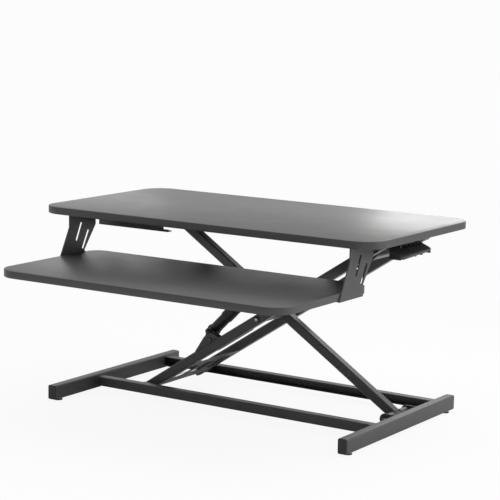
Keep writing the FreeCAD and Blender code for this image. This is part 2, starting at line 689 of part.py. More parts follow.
def handle_bracket(side):
    x0, x1 = side * PADDLE_INNER_X, side * (PADDLE_PIVOT_X + 14)
    plate = box(x0, x1, HANDLE_FRONT - 16, HANDLE_REAR + 16, UNDER_SHEET, DESKTOP_UNDER)
    for y in (HANDLE_FRONT, HANDLE_REAR - BRACKET_SHEET):
        ear = box(x0, side * (PADDLE_PIVOT_X + 8), y, y + BRACKET_SHEET, PADDLE_PIVOT_Z, UNDER_SHEET)
        tip = cross_rod(side * PADDLE_PIVOT_X, PADDLE_PIVOT_Z, 7, y, y + BRACKET_SHEET)
        plate = plate.fuse([ear, tip])
    pin = cross_rod(side * PADDLE_PIVOT_X, PADDLE_PIVOT_Z, PADDLE_PIN_RADIUS + FIT, PADDLE_FRONT, PADDLE_REAR)
    return plate.cut(pin).cut(screw_holes(HANDLE_SCREWS))


def paddle_wall(side, y):
    """Upright wall under the sloping grip, level along its lower edge."""
    low = PADDLE_BOTTOM
    outline = [(392, low), (366, low), (366, low + 17.5), (392, low + 4.5)]
    return prism([(side * x, y, z) for x, z in outline], PADDLE_WALL, (0, 1, 0))


def release_paddle(side):
    """Wedge-shaped grip on a hub that turns on the handle pin, notched round the bracket's ears."""
    low, high = PADDLE_UNDERSIDE, PADDLE_UNDERSIDE + PADDLE_THICK
    outline = [(PADDLE_REACH, PADDLE_FRONT), (PADDLE_REACH - 35, PADDLE_FRONT),
               (-PADDLE_BEHIND_PIN, PADDLE_FRONT + 30), (-PADDLE_BEHIND_PIN, PADDLE_REAR - 4),
               (PADDLE_REACH - 6, PADDLE_REAR)]
    grip = prism([(side * out, y, low) for out, y in outline], PADDLE_THICK, (0, 0, 1))
    upright = [edge for edge in grip.Edges if abs(edge.tangentAt(0).z) > 0.99]
    grip = grip.makeFillet(8, upright)
    flat = [face for face in grip.Faces if abs(face.normalAt(0, 0).z) > 0.99]
    grip = grip.makeFillet(2, [edge for face in flat for edge in face.Edges])
    finger = box(side * (PADDLE_REACH - 23), side * (PADDLE_REACH - 8), PADDLE_FRONT + 29,
                 PADDLE_REAR - 17, low - 1, low + 1.6)
    hub_front, hub_rear = HANDLE_FRONT + BRACKET_SHEET + 8.5, HANDLE_REAR - BRACKET_SHEET - 1
    for front, rear in ((HANDLE_FRONT - 4, hub_front), (hub_rear, HANDLE_REAR + 2.5)):
        notch = box(-side * (PADDLE_BEHIND_PIN + 3), side * PADDLE_NOTCH, front, rear, low - 1, high + 1)
        grip = grip.cut(notch)
    hub = cross_rod(0, 0, HUB_RADIUS, hub_front, hub_rear)
    pin = cross_rod(0, 0, PADDLE_PIN_RADIUS + RUN, hub_front - 1, hub_rear + 1)
    shape = grip.cut(finger).fuse(hub).cut(pin)
    shape.rotate(Vec(0, 0, 0), Y_AXIS, side * PADDLE_SLOPE)
    shape.translate(Vec(side * PADDLE_PIVOT_X, 0, PADDLE_PIVOT_Z))
    return shape.fuse([paddle_wall(side, y) for y in (12, 34, 72, 98, 131)])


def paddle_pin(side):
    x = side * PADDLE_PIVOT_X
    pin = cross_rod(x, PADDLE_PIVOT_Z, PADDLE_PIN_RADIUS, HANDLE_FRONT - 1.5, HANDLE_REAR + 1.5)
    head = cross_rod(x, PADDLE_PIVOT_Z, 5, HANDLE_FRONT - 3, HANDLE_FRONT)
    return pin.fuse(head)


def paddle_spring(side):
    """Torsion spring round the handle pin, as a plain sleeve."""
    start = HANDLE_FRONT + BRACKET_SHEET + 0.8
    return cross_ring(side * PADDLE_PIVOT_X, PADDLE_PIVOT_Z, 6, 4, start, start + 6.4)


def cable(points):
    """Sheathed cable through a list of points."""
    places = [Vec(*point) for point in points]
    runs = [cylinder(start, end, CABLE_RADIUS) for start, end in zip(places, places[1:])]
    joints = [Part.makeSphere(CABLE_RADIUS, place) for place in places[1:-1]]
    return runs[0].fuse(runs[1:] + joints)


def cable_row(side):
    """Distance from the middle plane of the lift to the cable of one handle."""
    return CABLE_Y + (0 if side > 0 else CABLE_SPACING)


def desktop_cable(side):
    """From a handle to the top pivot of the front outer arm."""
    x, y, z = side * (PADDLE_INNER_X - 3), HANDLE_REAR - 14, DESKTOP_UNDER - CABLE_DROP
    row = across(cable_row(side))
    return cable([(x, y, z), (side * (PADDLE_INNER_X - 30), y, z), (PIVOT_X - 26, row, z),
                  (PIVOT_X - 15, row, z - 4)])


def arm_cable(side):
    """Down the inner face of the front outer arm, over the centre sleeve, to the foot of the spring."""
    row = cable_row(side)
    under_tie, low, high, over_sleeve = -13, -7, 7, 11.2
    foot = -SPRING_ON_OUTER - 16
    route = [(ARM_HALF - 16, row, under_tie), (ARM_HALF - 64, row, under_tie), (ARM_HALF - 80, row, low),
             (26, row, high), (14, row, over_sleeve), (-14, row, over_sleeve), (-26, row, high),
             (-40, row, low), (foot, row, low), (foot, row, 8)]
    return on_outer_arm(cable(route))


DESKTOP_SCREWS = RAIL_SCREWS + PIVOT_SCREWS + BRACKET_TOP_SCREWS + HANDLE_SCREWS


def desktop_board():
    shape = board(DESKTOP_WIDTH, DESKTOP_FRONT, DESKTOP_REAR, DESKTOP_TOP, DESKTOP_CORNER, DESKTOP_CORNER)
    return shape.cut(screw_holes(DESKTOP_SCREWS))


def keyboard_tray():
    shape = board(TRAY_WIDTH, TRAY_FRONT, TRAY_REAR, TRAY_TOP, TRAY_FRONT_CORNER, TRAY_REAR_CORNER)
    return shape.cut(screw_holes(BRACKET_TRAY_SCREWS))


def centre_axle():
    return bolt(CROSSING_X, CROSSING_Z, AXLE_RADIUS, across(-OUTER_ARM_OUT),
                across(OUTER_ARM_OUT + AXLE_NUT_HEIGHT + 2), AXLE_HEAD_RADIUS, AXLE_HEAD)


def centre_axle_nut():
    return nut(CROSSING_X, CROSSING_Z, AXLE_NUT, AXLE_RADIUS, across(OUTER_ARM_OUT),
               across(OUTER_ARM_OUT + AXLE_NUT_HEIGHT))


def lower_pivot_bolt():
    return bolt(PIVOT_X, LOWER_PIVOT_Z, AXLE_RADIUS, across(-BRACKET_HALF),
                across(BRACKET_HALF + AXLE_NUT_HEIGHT + 2), AXLE_HEAD_RADIUS, AXLE_HEAD)


def lower_pivot_nut():
    return nut(PIVOT_X, LOWER_PIVOT_Z, AXLE_NUT, AXLE_RADIUS, across(BRACKET_HALF),
               across(BRACKET_HALF + AXLE_NUT_HEIGHT))


def four_foot_caps():
    ends = ((FOOT_FRONT, -1), (FOOT_REAR, 1))
    return Part.makeCompound([foot_end_cap(side, y, outward) for side in SIDES for y, outward in ends])


PARTS = {
    "left_foot_tube": foot_tube(-1),
    "right_foot_tube": foot_tube(1),
    "foot_end_caps": four_foot_caps(),
    "foot_pads": Part.makeCompound([foot_pad(x, y) for x, y in foot_pad_places()]),
    "foot_pad_studs": Part.makeCompound([foot_stud(x, y) for x, y in foot_pad_places()]),
    "front_crossbar": crossbar(-1),
    "rear_crossbar": crossbar(1),
    "lower_pivot_bracket": lower_pivot_bracket(),
    "lower_pivot_bolt": lower_pivot_bolt(),
    "lower_pivot_nut": lower_pivot_nut(),
    "inner_arm_tube": inner_arm_tube(),
    "inner_arm_lower_sleeve": inner_arm_lower_sleeve(),
    "inner_arm_centre_sleeve": inner_arm_centre_sleeve(),
    "inner_arm_spring_tube": inner_arm_spring_tube(),
    "inner_arm_end_cap": inner_arm_end_cap(),
    "upper_slide_axle": cross_rod(SLIDE_X, UPPER_PIVOT_Z, AXLE_RADIUS, across(-119), across(119)),
    "front_outer_arm": outer_arm(-1),
    "rear_outer_arm": outer_arm(1),
    "outer_arm_end_caps": outer_arm_end_caps(),
    "spring_gusset": spring_gusset(),
    "outer_arm_lower_plate": outer_arm_lower_plate(),
    "outer_arm_upper_tie": outer_arm_upper_tie(),
    "centre_axle": centre_axle(),
    "centre_axle_nut": centre_axle_nut(),
    "lower_slide_axle": cross_rod(SLIDE_X, LOWER_PIVOT_Z, AXLE_RADIUS, across(-130), across(130)),
    "spring_pin": spring_pin(),
    "spring_pin_nut": spring_pin_nut(),
    "gusset_bolt": gusset_bolt(),
    "gusset_bolt_nut": gusset_bolt_nut(),
    "lower_slide_shoes": pair(lower_shoe),
    "upper_slide_shoes": pair(upper_shoe),
    "gas_cylinder": gas_cylinder(),
    "gas_rod_guide": gas_rod_guide(),
    "gas_rod": gas_rod(),
    "gas_piston": gas_piston(),
    "spring_sleeve": spring_sleeve(),
    "rod_eye_bolt": rod_eye_bolt(),
    "desktop_board": desktop_board(),
    "keyboard_tray": keyboard_tray(),
    "front_slide_rail": slide_rail(-1),
    "rear_slide_rail": slide_rail(1),
    "upper_pivot_brackets": pair(upper_pivot_bracket),
    "upper_pivot_bolts": pair(upper_pivot_bolt),
    "upper_pivot_nuts": pair(upper_pivot_nut),
    "left_tray_bracket": tray_bracket(-1),
    "right_tray_bracket": tray_bracket(1),
    "desktop_screws": Part.makeCompound([screw_up(place) for place in DESKTOP_SCREWS]),
    "tray_screws": Part.makeCompound([screw_up(place) for place in BRACKET_TRAY_SCREWS]),
    "left_handle_bracket": handle_bracket(-1),
    "right_handle_bracket": handle_bracket(1),
    "left_release_paddle": release_paddle(-1),
    "right_release_paddle": release_paddle(1),
    "paddle_pins": pair(paddle_pin),
    "paddle_springs": pair(paddle_spring),
    "desktop_cables": pair(desktop_cable),
    "arm_cables": pair(arm_cable),
}

os.makedirs("parts", exist_ok=True)
for name, shape in PARTS.items():
    shape.exportStep("parts/" + name + ".step")
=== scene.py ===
"""Standing desk converter: the looks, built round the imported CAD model. Lengths are metres."""
import json
import math
import random

import bpy
from mathutils import Matrix, Vector


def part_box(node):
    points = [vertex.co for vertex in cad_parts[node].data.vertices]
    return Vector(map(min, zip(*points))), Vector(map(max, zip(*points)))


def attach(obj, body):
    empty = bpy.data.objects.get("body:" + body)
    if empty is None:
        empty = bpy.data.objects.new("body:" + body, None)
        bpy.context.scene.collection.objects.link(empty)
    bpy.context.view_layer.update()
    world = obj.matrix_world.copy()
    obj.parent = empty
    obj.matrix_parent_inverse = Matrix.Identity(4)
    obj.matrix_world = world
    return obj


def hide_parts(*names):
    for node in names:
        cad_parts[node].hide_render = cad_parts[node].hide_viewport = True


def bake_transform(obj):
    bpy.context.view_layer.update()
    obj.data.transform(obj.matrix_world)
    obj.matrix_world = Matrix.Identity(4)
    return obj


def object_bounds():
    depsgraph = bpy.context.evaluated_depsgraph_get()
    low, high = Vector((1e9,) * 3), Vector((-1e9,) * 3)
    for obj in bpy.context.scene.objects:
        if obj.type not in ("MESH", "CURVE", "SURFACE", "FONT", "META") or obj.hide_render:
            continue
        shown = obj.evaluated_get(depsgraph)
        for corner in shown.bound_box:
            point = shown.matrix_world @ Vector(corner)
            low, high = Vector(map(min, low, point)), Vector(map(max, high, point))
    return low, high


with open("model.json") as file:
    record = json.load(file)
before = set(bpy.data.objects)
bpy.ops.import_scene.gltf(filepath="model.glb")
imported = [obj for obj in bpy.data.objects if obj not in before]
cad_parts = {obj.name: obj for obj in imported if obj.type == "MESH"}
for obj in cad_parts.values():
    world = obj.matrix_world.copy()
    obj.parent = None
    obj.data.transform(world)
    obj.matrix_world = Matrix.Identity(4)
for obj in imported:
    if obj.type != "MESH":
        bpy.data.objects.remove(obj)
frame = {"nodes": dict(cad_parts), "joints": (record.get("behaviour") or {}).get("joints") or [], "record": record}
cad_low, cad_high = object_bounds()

NODES = frame["nodes"]
JOINTS = {joint["name"]: joint for joint in frame["joints"]}
SLOT_OF = {part["node"]: part["material_slot"] for part in frame["record"]["subparts"]}
UP = Vector((0, 0, 1))
ACROSS = Vector((0, 1, 0))
SIDES = (-1, 1)


# ---------------------------------------------------------------- places taken from the frame

def pivot(joint):
    return Vector(JOINTS[joint]["pos_m"])


CROSSING = pivot("scissor_crossing")
OUTER_DIR = (pivot("desktop_level") - CROSSING).normalized()
OUTER_UP = Vector((-OUTER_DIR.z, 0, OUTER_DIR.x))
INNER_DIR = (CROSSING - pivot("lift")).normalized()
INNER_UP = Vector((INNER_DIR.z, 0, -INNER_DIR.x))
ARM_HALF = (pivot("lift") - CROSSING).length
SPRING_FOOT = pivot("spring_swing")
ARM_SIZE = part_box("inner_arm_tube")[1].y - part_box("inner_arm_tube")[0].y


def on_outer(along, side=0.0, above=0.0):
    """Point on the outer arms: distance up the arm from the crossing, across the lift, above the axis."""
    return CROSSING + OUTER_DIR * along + ACROSS * side + OUTER_UP * above


def span(node, origin, direction):
    """Least and greatest distance of a CAD node from a point, measured along a direction."""
    reach = [(Vector(v.co) - origin).dot(direction) for v in NODES[node].data.vertices]
    return min(reach), max(reach)


# ---------------------------------------------------------------- mesh building

ARC_SHARE = 0.49
BLOCK_BEVEL = 0.12


def join(*shapes):
    """One (points, faces) shape from several."""
    points, faces = [], []
    for more_points, more_faces in shapes:
        start = len(points)
        points += more_points
        faces += [tuple(start + i for i in face) for face in more_faces]
    return points, faces


def mirrored(shape):
    """The shape reflected from the right of the object to its left, with its faces turned back outwards."""
    points, faces = shape
    return [Vector((-p.x, p.y, p.z)) for p in points], [tuple(reversed(f)) for f in faces]


def skin(rings, closed=False):
    """Faces over rings of equal length. An open stack gets a flat cap at each end."""
    count = len(rings[0])
    points = [p for ring in rings for p in ring]
    faces = []
    last = len(rings) if closed else len(rings) - 1
    for i in range(last):
        a, b = i * count, (i + 1) % len(rings) * count
        for j in range(count):
            k = (j + 1) % count
            faces.append((a + j, a + k, b + k, b + j))
    if not closed:
        faces.append(tuple(reversed(range(count))))
        faces.append(tuple(range((len(rings) - 1) * count, len(rings) * count)))
    return points, faces


def lathe(profile, start, axis, steps=48, closed=False):
    """Turned shape: the profile holds (distance along the axis, radius)."""
    axis = axis.normalized()
    one = axis.orthogonal().normalized()
    two = axis.cross(one)
    rings = []
    for along, radius in profile:
        centre = start + axis * along
        ring = []
        for i in range(steps):
            a = 2 * math.pi * i / steps
            ring.append(centre + (one * math.cos(a) + two * math.sin(a)) * radius)
        rings.append(ring)
    return skin(rings, closed)


def bend(points, radius, steps=8):
    """Path through points, with each inner corner turned into an arc."""
    points = [Vector(p) for p in points]
    path = [points[0]]
    for before, corner, after in zip(points, points[1:], points[2:]):
        path += corner_arc(before, corner, after, radius, steps)[0]
    return path + [points[-1]]


def corner_arc(before, corner, after, radius, steps):
    """Arc that rounds a corner, and its centre. It takes up at most ARC_SHARE of each side."""
    one = (before - corner).normalized()
    two = (after - corner).normalized()
    half = one.angle(two) / 2
    shorter = min((before - corner).length, (after - corner).length)
    reach = min(radius / math.tan(half), shorter * ARC_SHARE)
    radius = reach * math.tan(half)
    centre = corner + (one + two).normalized() * (radius / math.sin(half))
    start = (corner + one * reach - centre).normalized()
    end = (corner + two * reach - centre).normalized()
    return [centre + start.slerp(end, i / steps) * radius for i in range(steps + 1)], centre


def sweep(path, radius, sides=12, section=None):
    """Round bar along a path. section(i, share) may change the radius along the way."""
    rings = []
    tangent = (path[1] - path[0]).normalized()
    one = tangent.orthogonal().normalized()
    for i, point in enumerate(path):
        ahead = path[min(i + 1, len(path) - 1)] - path[max(i - 1, 0)]
        turn = tangent.rotation_difference(ahead.normalized())
        one = (turn @ one).normalized()
        tangent = ahead.normalized()
        two = tangent.cross(one)
        size = section(i, i / (len(path) - 1)) if section else radius
        ring = []
        for j in range(sides):
            a = 2 * math.pi * j / sides
            ring.append(point + (one * math.cos(a) + two * math.sin(a)) * size)
        rings.append(ring)
    return skin(rings)


def rounded_outline(corners, radii, steps=14):
    """Closed outline in XY from anticlockwise corners, as (point, outward direction) pairs."""
    outline = []
    for i, corner in enumerate(corners):
        before, after = corners[i - 1], corners[(i + 1) % len(corners)]
        arc, centre = corner_arc(before, corner, after, radii[i], steps)
        way = 1 if (corner - before).cross(after - corner).z > 0 else -1
        outline += [(p, (p - centre).normalized() * way) for p in arc]
    return outline


def stacked(outline, profile, closed=False):
    """Solid from an outline: the profile holds (inset, height) pairs from the bottom up."""
    rings = [[Vector((p.x - n.x * inset, p.y - n.y * inset, z)) for p, n in outline] for inset, z in profile]
    return skin(rings, closed)


def eased(inset, low, high, ease, steps=5):
    """Profile of an upright edge whose two corners are rounded by ease."""
    profile = []
    for i in range(steps + 1):
        a = math.pi / 2 * i / steps
        profile.append((inset + ease * (1 - math.sin(a)), low + ease * (1 - math.cos(a))))
    top = [(x, low + high - z) for x, z in reversed(profile)]
    return profile + top


def standing(corners, radius, start, end, ease):
    """Plate with its thickness along Y. Its outline is in X and height, anticlockwise."""
    outline = rounded_outline([Vector((x, z, 0)) for x, z in corners], [radius] * len(corners), 4)
    points, faces = stacked(outline, eased(0.0, start, end, ease, 3))
    return [Vector((p.x, p.z, p.y)) for p in points], [tuple(reversed(f)) for f in faces]


def block(centre, along, side, up, size):
    """Bar with bevelled edges round a centre, from three directions and three lengths."""
    ease = min(size) * BLOCK_BEVEL
    rings = []
    length = size[0] / 2
    for shift, inset in ((-length, ease), (-length + ease, 0), (length - ease, 0), (length, ease)):
        half_w, half_h = size[1] / 2 - inset, size[2] / 2 - inset
        ring = []
        for w, h in ((-1, -1), (1, -1), (1, 1), (-1, 1)):
            for cut_w, cut_h in ((ease, 0), (0, ease)) if w * h < 0 else ((0, ease), (ease, 0)):
                offset = side * (w * (half_w - cut_w)) + up * (h * (half_h - cut_h))
                ring.append(centre + along * shift + offset)
        rings.append(ring)
    return skin(rings)


def bead(path, radius, seed):
    """Weld bead: a lumpy bar along a path, with the ripples of its puddles."""
    pick = random.Random(seed)
    ripple, points_per_ripple, fewest_points = 0.0016, 4, 6
    ripple_height, unevenness = 0.10, 0.06
    end_size, end_growth = 0.35, 12
    lengths = [0.0]
    for a, b in zip(path, path[1:]):
        lengths.append(lengths[-1] + (b - a).length)
    count = max(fewest_points, int(lengths[-1] / (ripple / points_per_ripple)))
    fine = []
    j = 0
    for i in range(count + 1):
        at = lengths[-1] * i / count
        while j < len(path) - 2 and lengths[j + 1] < at:
            j += 1
        share = (at - lengths[j]) / max(1e-9, lengths[j + 1] - lengths[j])
        fine.append(path[j].lerp(path[j + 1], share))
    phase = pick.random() * 6

    def section(i, share):
        wave = math.sin(2 * math.pi * i / points_per_ripple + phase) * ripple_height
        taper = min(1.0, end_size + end_growth * min(share, 1 - share))
        return radius * taper * (1 + wave + pick.uniform(-unevenness, unevenness))

    return sweep(fine, radius, 8, section)


def ring_path(centre, axis, radius):
    """Closed circle as a path that meets itself."""
    steps = 40
    one = axis.orthogonal().normalized()
    two = axis.normalized().cross(one)
    turn = [2 * math.pi * i / steps for i in range(steps + 1)]
    return [centre + (one * math.cos(a) + two * math.sin(a)) * radius for a in turn]


def piece(name, shape, material, body, stands_for=(), sharp=35):
    """New object from a shape, riding on a CAD body, or on none when no body is given."""
    mesh = bpy.data.meshes.new(name)
    mesh.from_pydata([tuple(p) for p in shape[0]], [], shape[1])
    mesh.validate()
    mesh.shade_smooth()
    mesh.set_sharp_from_angle(angle=math.radians(sharp))
    mesh.materials.append(material)
    obj = bpy.data.objects.new(name, mesh)
    bpy.context.scene.collection.objects.link(obj)
    if body:
        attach(obj, body)
    if stands_for:
        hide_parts(*stands_for)
    return obj


# ---------------------------------------------------------------- materials

class Look:
    """A procedural material, with short calls for the nodes that the finishes share."""

    def __init__(self, name, metallic=0.0):
        self.material = bpy.data.materials.new(name)
        self.material.use_nodes = True
        self.tree = self.material.node_tree
        self.shader = self.tree.nodes["Principled BSDF"]
        self.shader.inputs["Metallic"].default_value = metallic
        self.place = self.node("ShaderNodeTexCoord").outputs["Object"]
        self.normal = None

    def node(self, kind, **settings):
        made = self.tree.nodes.new(kind)
        for key, value in settings.items():
            setattr(made, key, value)
        return made

    def link(self, source, target):
        self.tree.links.new(source, target)

    def stretched(self, stretch):
        scaled = self.node("ShaderNodeVectorMath", operation="MULTIPLY")
        self.link(self.place, scaled.inputs[0])
        scaled.inputs[1].default_value = stretch
        return scaled.outputs[0]

    def noise(self, per_metre, detail=4.0, rough=0.55, stretch=None):
        made = self.node("ShaderNodeTexNoise")
        self.link(self.stretched(stretch) if stretch else self.place, made.inputs["Vector"])
        made.inputs["Scale"].default_value = per_metre
        made.inputs["Detail"].default_value = detail
        made.inputs["Roughness"].default_value = rough
        return made.outputs["Fac"]

    def cells(self, per_metre):
        made = self.node("ShaderNodeTexVoronoi", feature="F1")
        self.link(self.place, made.inputs["Vector"])
        made.inputs["Scale"].default_value = per_metre
        return made.outputs["Distance"]

    def spread(self, source, low, high, start=0.3, end=0.7):
        """Map a value between start and end to low and high."""
        made = self.node("ShaderNodeMapRange")
        self.link(source, made.inputs["Value"])
        for key, value in (("From Min", start), ("From Max", end), ("To Min", low), ("To Max", high)):
            made.inputs[key].default_value = value
        return made.outputs["Result"]

    def sum(self, one, two, operation="ADD"):
        made = self.node("ShaderNodeMath", operation=operation)
        for source, target in zip((one, two), made.inputs):
            if isinstance(source, (int, float)):
                target.default_value = source
            else:
                self.link(source, target)
        return made.outputs[0]

    def mix(self, share, one, two):
        made = self.node("ShaderNodeMix", data_type="RGBA")
        self.link(share, made.inputs["Factor"])
        for source, target in ((one, made.inputs[6]), (two, made.inputs[7])):
            if isinstance(source, tuple):
                target.default_value = (*source, 1)
            else:
                self.link(source, target)
        return made.outputs[2]

    def worn_edges(self, radius):
        """1 on outside edges, fading to 0 on flat faces."""
        worn, untouched = 0.75, 0.995
        soft = self.node("ShaderNodeBevel", samples=4)
        soft.inputs["Radius"].default_value = radius
        sharp = self.node("ShaderNodeNewGeometry").outputs["Normal"]
        dot = self.node("ShaderNodeVectorMath", operation="DOT_PRODUCT")
        self.link(soft.outputs[0], dot.inputs[0])
        self.link(sharp, dot.inputs[1])
        return self.spread(dot.outputs["Value"], 1.0, 0.0, worn, untouched)

    def bump(self, height, depth, strength=1.0):
        made = self.node("ShaderNodeBump")
        made.inputs["Strength"].default_value = strength
        made.inputs["Distance"].default_value = depth
        self.link(height, made.inputs["Height"])
        if self.normal:
            self.link(self.normal, made.inputs["Normal"])
        self.normal = made.outputs["Normal"]

    def done(self, colour, roughness, **values):
        self.link(colour, self.shader.inputs["Base Color"])
        self.link(roughness, self.shader.inputs["Roughness"])
        if self.normal:
            self.link(self.normal, self.shader.inputs["Normal"])
        for key, value in values.items():
            self.shader.inputs[key.replace("_", " ")].default_value = value
        return self.material


def laminate(name, dark, light):
    """Satin laminate with a fine pebbled press grain and faint handling marks."""
    look = Look(name)
    cloud = look.noise(5.0, 3.0)
    grain = look.noise(1500.0, 2.0, 0.6)
    pebble = look.cells(900.0)
    smudge = look.noise(18.0, 5.0, 0.6)
    colour = look.mix(look.spread(look.sum(cloud, grain), 0, 1, 0.4, 1.6), dark, light)
    look.bump(pebble, 0.00010, 0.5)
    look.bump(grain, 0.00006, 0.5)
    roughness = look.spread(smudge, 0.39, 0.43)
    return look.done(colour, roughness, Specular_IOR_Level=0.5)


def powder_coat():
    """Baked powder paint: orange peel, a fine sparkle and slightly polished edges."""
    look = Look("charcoal_powder_coat")
    cloud = look.noise(9.0, 4.0)
    peel = look.noise(620.0, 2.0, 0.5)
    grit = look.noise(2600.0, 1.0, 0.5)
    body = look.mix(look.spread(cloud, 0, 1), (0.029, 0.029, 0.031), (0.039, 0.039, 0.041))
    speck = look.mix(look.spread(grit, 0, 0.45, 0.58, 0.72), body, (0.085, 0.085, 0.09))
    edge = look.worn_edges(0.0012)
    scuffed = look.sum(edge, look.spread(look.noise(160.0, 5.0, 0.7), 0.25, 1.0), "MULTIPLY")
    colour = look.mix(look.sum(scuffed, 0.55, "MULTIPLY"), speck, (0.10, 0.10, 0.105))
    look.bump(peel, 0.00022, 0.55)
    look.bump(grit, 0.00004, 0.6)
    roughness = look.sum(look.spread(peel, 0.38, 0.50), look.sum(edge, -0.06, "MULTIPLY"))
    return look.done(colour, roughness)


def moulded_plastic(name, dark, light, rough=0.5, texture=1100.0):
    """Injection-moulded plastic with a spark-eroded skin."""
    look = Look(name)
    skin_grain = look.noise(texture, 3.0, 0.6)
    flow = look.noise(30.0, 3.0, 0.5, (1.0, 0.35, 1.0))
    colour = look.mix(look.spread(flow, 0, 1), dark, light)
    edge = look.worn_edges(0.0009)
    colour = look.mix(look.sum(edge, 0.35, "MULTIPLY"), colour, tuple(3 * c + 0.01 for c in light))
    look.bump(skin_grain, 0.00012, 0.6)
    roughness = look.spread(look.sum(skin_grain, flow), rough - 0.06, rough + 0.08, 0.7, 1.3)
    return look.done(colour, roughness)


def rubber():
    """Dusty black rubber."""
    look = Look("pad_rubber")
    dust = look.noise(220.0, 6.0, 0.7)
    colour = look.mix(look.spread(dust, 0, 1, 0.4, 0.75), (0.012, 0.012, 0.012), (0.05, 0.048, 0.045))
    look.bump(look.noise(900.0, 3.0), 0.00015, 0.6)
    return look.done(colour, look.spread(dust, 0.7, 0.9))


def plated(name, dark, light, rough, stretch=(1.0, 1.0, 1.0)):
    """Zinc or bright plating: blotchy lustre and fine drawing lines."""
    look = Look(name, 1.0)
    blotch = look.noise(260.0, 4.0, 0.6)
    lines = look.noise(1600.0, 2.0, 0.6, stretch)
    colour = look.mix(look.spread(blotch, 0, 1), dark, light)
    look.bump(lines, 0.00005, 0.5)
    roughness = look.spread(look.sum(blotch, lines), rough - 0.08, rough + 0.12, 0.7, 1.3)
    return look.done(colour, roughness)


def enamel(name, dark, light, rough):
    """Smooth black paint with a slow ripple, as on gas springs and screws."""
    look = Look(name)
    ripple = look.noise(180.0, 2.0, 0.4)
    cloud = look.noise(40.0, 4.0)
    colour = look.mix(look.spread(cloud, 0, 1), dark, light)
    edge = look.worn_edges(0.0006)
    colour = look.mix(look.sum(edge, 0.4, "MULTIPLY"), colour, (0.12, 0.12, 0.12))
    look.bump(ripple, 0.00010, 0.4)
    return look.done(colour, look.spread(cloud, rough - 0.05, rough + 0.07), Specular_IOR_Level=0.4)


MATERIALS = {
    "dark_laminate": laminate("dark_laminate", (0.040, 0.038, 0.037), (0.050, 0.048, 0.047)),
    "charcoal_powder_coat": powder_coat(),
    "black_plastic": moulded_plastic("black_plastic", (0.010, 0.010, 0.011), (0.014, 0.014, 0.015)),
    "pad_rubber": rubber(),
    "zinc_fasteners": plated("zinc_fasteners", (0.50, 0.51, 0.53), (0.72, 0.72, 0.74), 0.30),
    "bare_axle_steel": plated("bare_axle_steel", (0.28, 0.28, 0.29), (0.42, 0.42, 0.43), 0.35,
                              (1.0, 0.03, 1.0)),
    "slide_nylon": moulded_plastic("slide_nylon", (0.035, 0.035, 0.036), (0.05, 0.05, 0.05), 0.42, 700.0),
    "spring_black": enamel("spring_black", (0.006, 0.006, 0.006), (0.009, 0.009, 0.010), 0.42),
    "polished_rod": plated("polished_rod", (0.62, 0.62, 0.64), (0.78, 0.78, 0.80), 0.12),
    "guide_polymer": moulded_plastic("guide_polymer", (0.015, 0.015, 0.016), (0.024, 0.024, 0.025), 0.45),
    "black_screws": enamel("black_screws", (0.014, 0.014, 0.014), (0.022, 0.022, 0.022), 0.38),
    "spring_wire": plated("spring_wire", (0.22, 0.22, 0.23), (0.34, 0.34, 0.35), 0.3),
    "cable_sheath": moulded_plastic("cable_sheath", (0.010, 0.010, 0.011), (0.016, 0.016, 0.017), 0.4, 500.0),
}
SLEEVE_BLACK = moulded_plastic("sleeve_black", (0.006, 0.006, 0.006), (0.009, 0.009, 0.009), 0.55)
EDGE_BAND = laminate("edge_band", (0.034, 0.033, 0.032), (0.042, 0.041, 0.040))


# ---------------------------------------------------------------- carried-over CAD nodes

MERGE_DISTANCE = 0.00001
FLAT_ANGLE = math.radians(1.5)
HARD_ANGLE = math.radians(40)
# Painted glint on the bolts: the shares of the head's radius over which the bright disc fades out.
GLINT_START = 0.42
GLINT_END = 0.52


def soften(obj, width):
    """Merge the imported points and flat faces, and round the hard edges a little."""
    merged = obj.modifiers.new("weld", "WELD")
    merged.merge_threshold = MERGE_DISTANCE
    flat = obj.modifiers.new("flat", "DECIMATE")
    flat.decimate_type = "DISSOLVE"
    flat.angle_limit = FLAT_ANGLE
    round_off = obj.modifiers.new("round_off", "BEVEL")
    round_off.width = width
    round_off.segments = 2
    round_off.limit_method = "ANGLE"
    round_off.angle_limit = HARD_ANGLE
    even = obj.modifiers.new("even", "WEIGHTED_NORMAL")
    even.keep_sharp = False


def bolt_with_painted_glint(name, glint):
    """Black oxide, with a painted glint: a bright metallic disc round the bolt's axis, its colour scaled by glint.
    """
    low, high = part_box(name)
    look = Look(name + "_finish")
    flat = look.node("ShaderNodeVectorMath", operation="SUBTRACT")
    look.link(look.place, flat.inputs[0])
    flat.inputs[1].default_value = ((low.x + high.x) / 2, 0, (low.z + high.z) / 2)
    reach = look.node("ShaderNodeVectorMath", operation="MULTIPLY")
    look.link(flat.outputs[0], reach.inputs[0])
    reach.inputs[1].default_value = (1, 0, 1)
    length = look.node("ShaderNodeVectorMath", operation="LENGTH")
    look.link(reach.outputs[0], length.inputs[0])
    head = (high.x - low.x) / 2
    # Painted glint: mask of a disc round the bolt's axis, 1 in the middle and fading to 0 towards the head's rim;
    # it also makes the disc metallic.
    bright = look.spread(length.outputs["Value"], 1.0, 0.0, head * GLINT_START, head * GLINT_END)
    wear = look.noise(900.0, 4.0, 0.6)
    black = look.mix(look.spread(wear, 0, 1), (0.010, 0.010, 0.010), (0.022, 0.022, 0.022))
    # Colour of the painted glint, dimmed by glint.
    steel = look.mix(look.spread(wear, 0, 1), (0.55 * glint,) * 3, (0.80 * glint,) * 3)
    edge = look.sum(look.worn_edges(0.0004), 0.15, "MULTIPLY")
    colour = look.mix(bright, look.mix(edge, black, (0.16, 0.16, 0.16)), steel)
    look.link(bright, look.shader.inputs["Metallic"])
    look.bump(wear, 0.00004, 0.5)
    return look.done(colour, look.spread(wear, 0.30, 0.45))


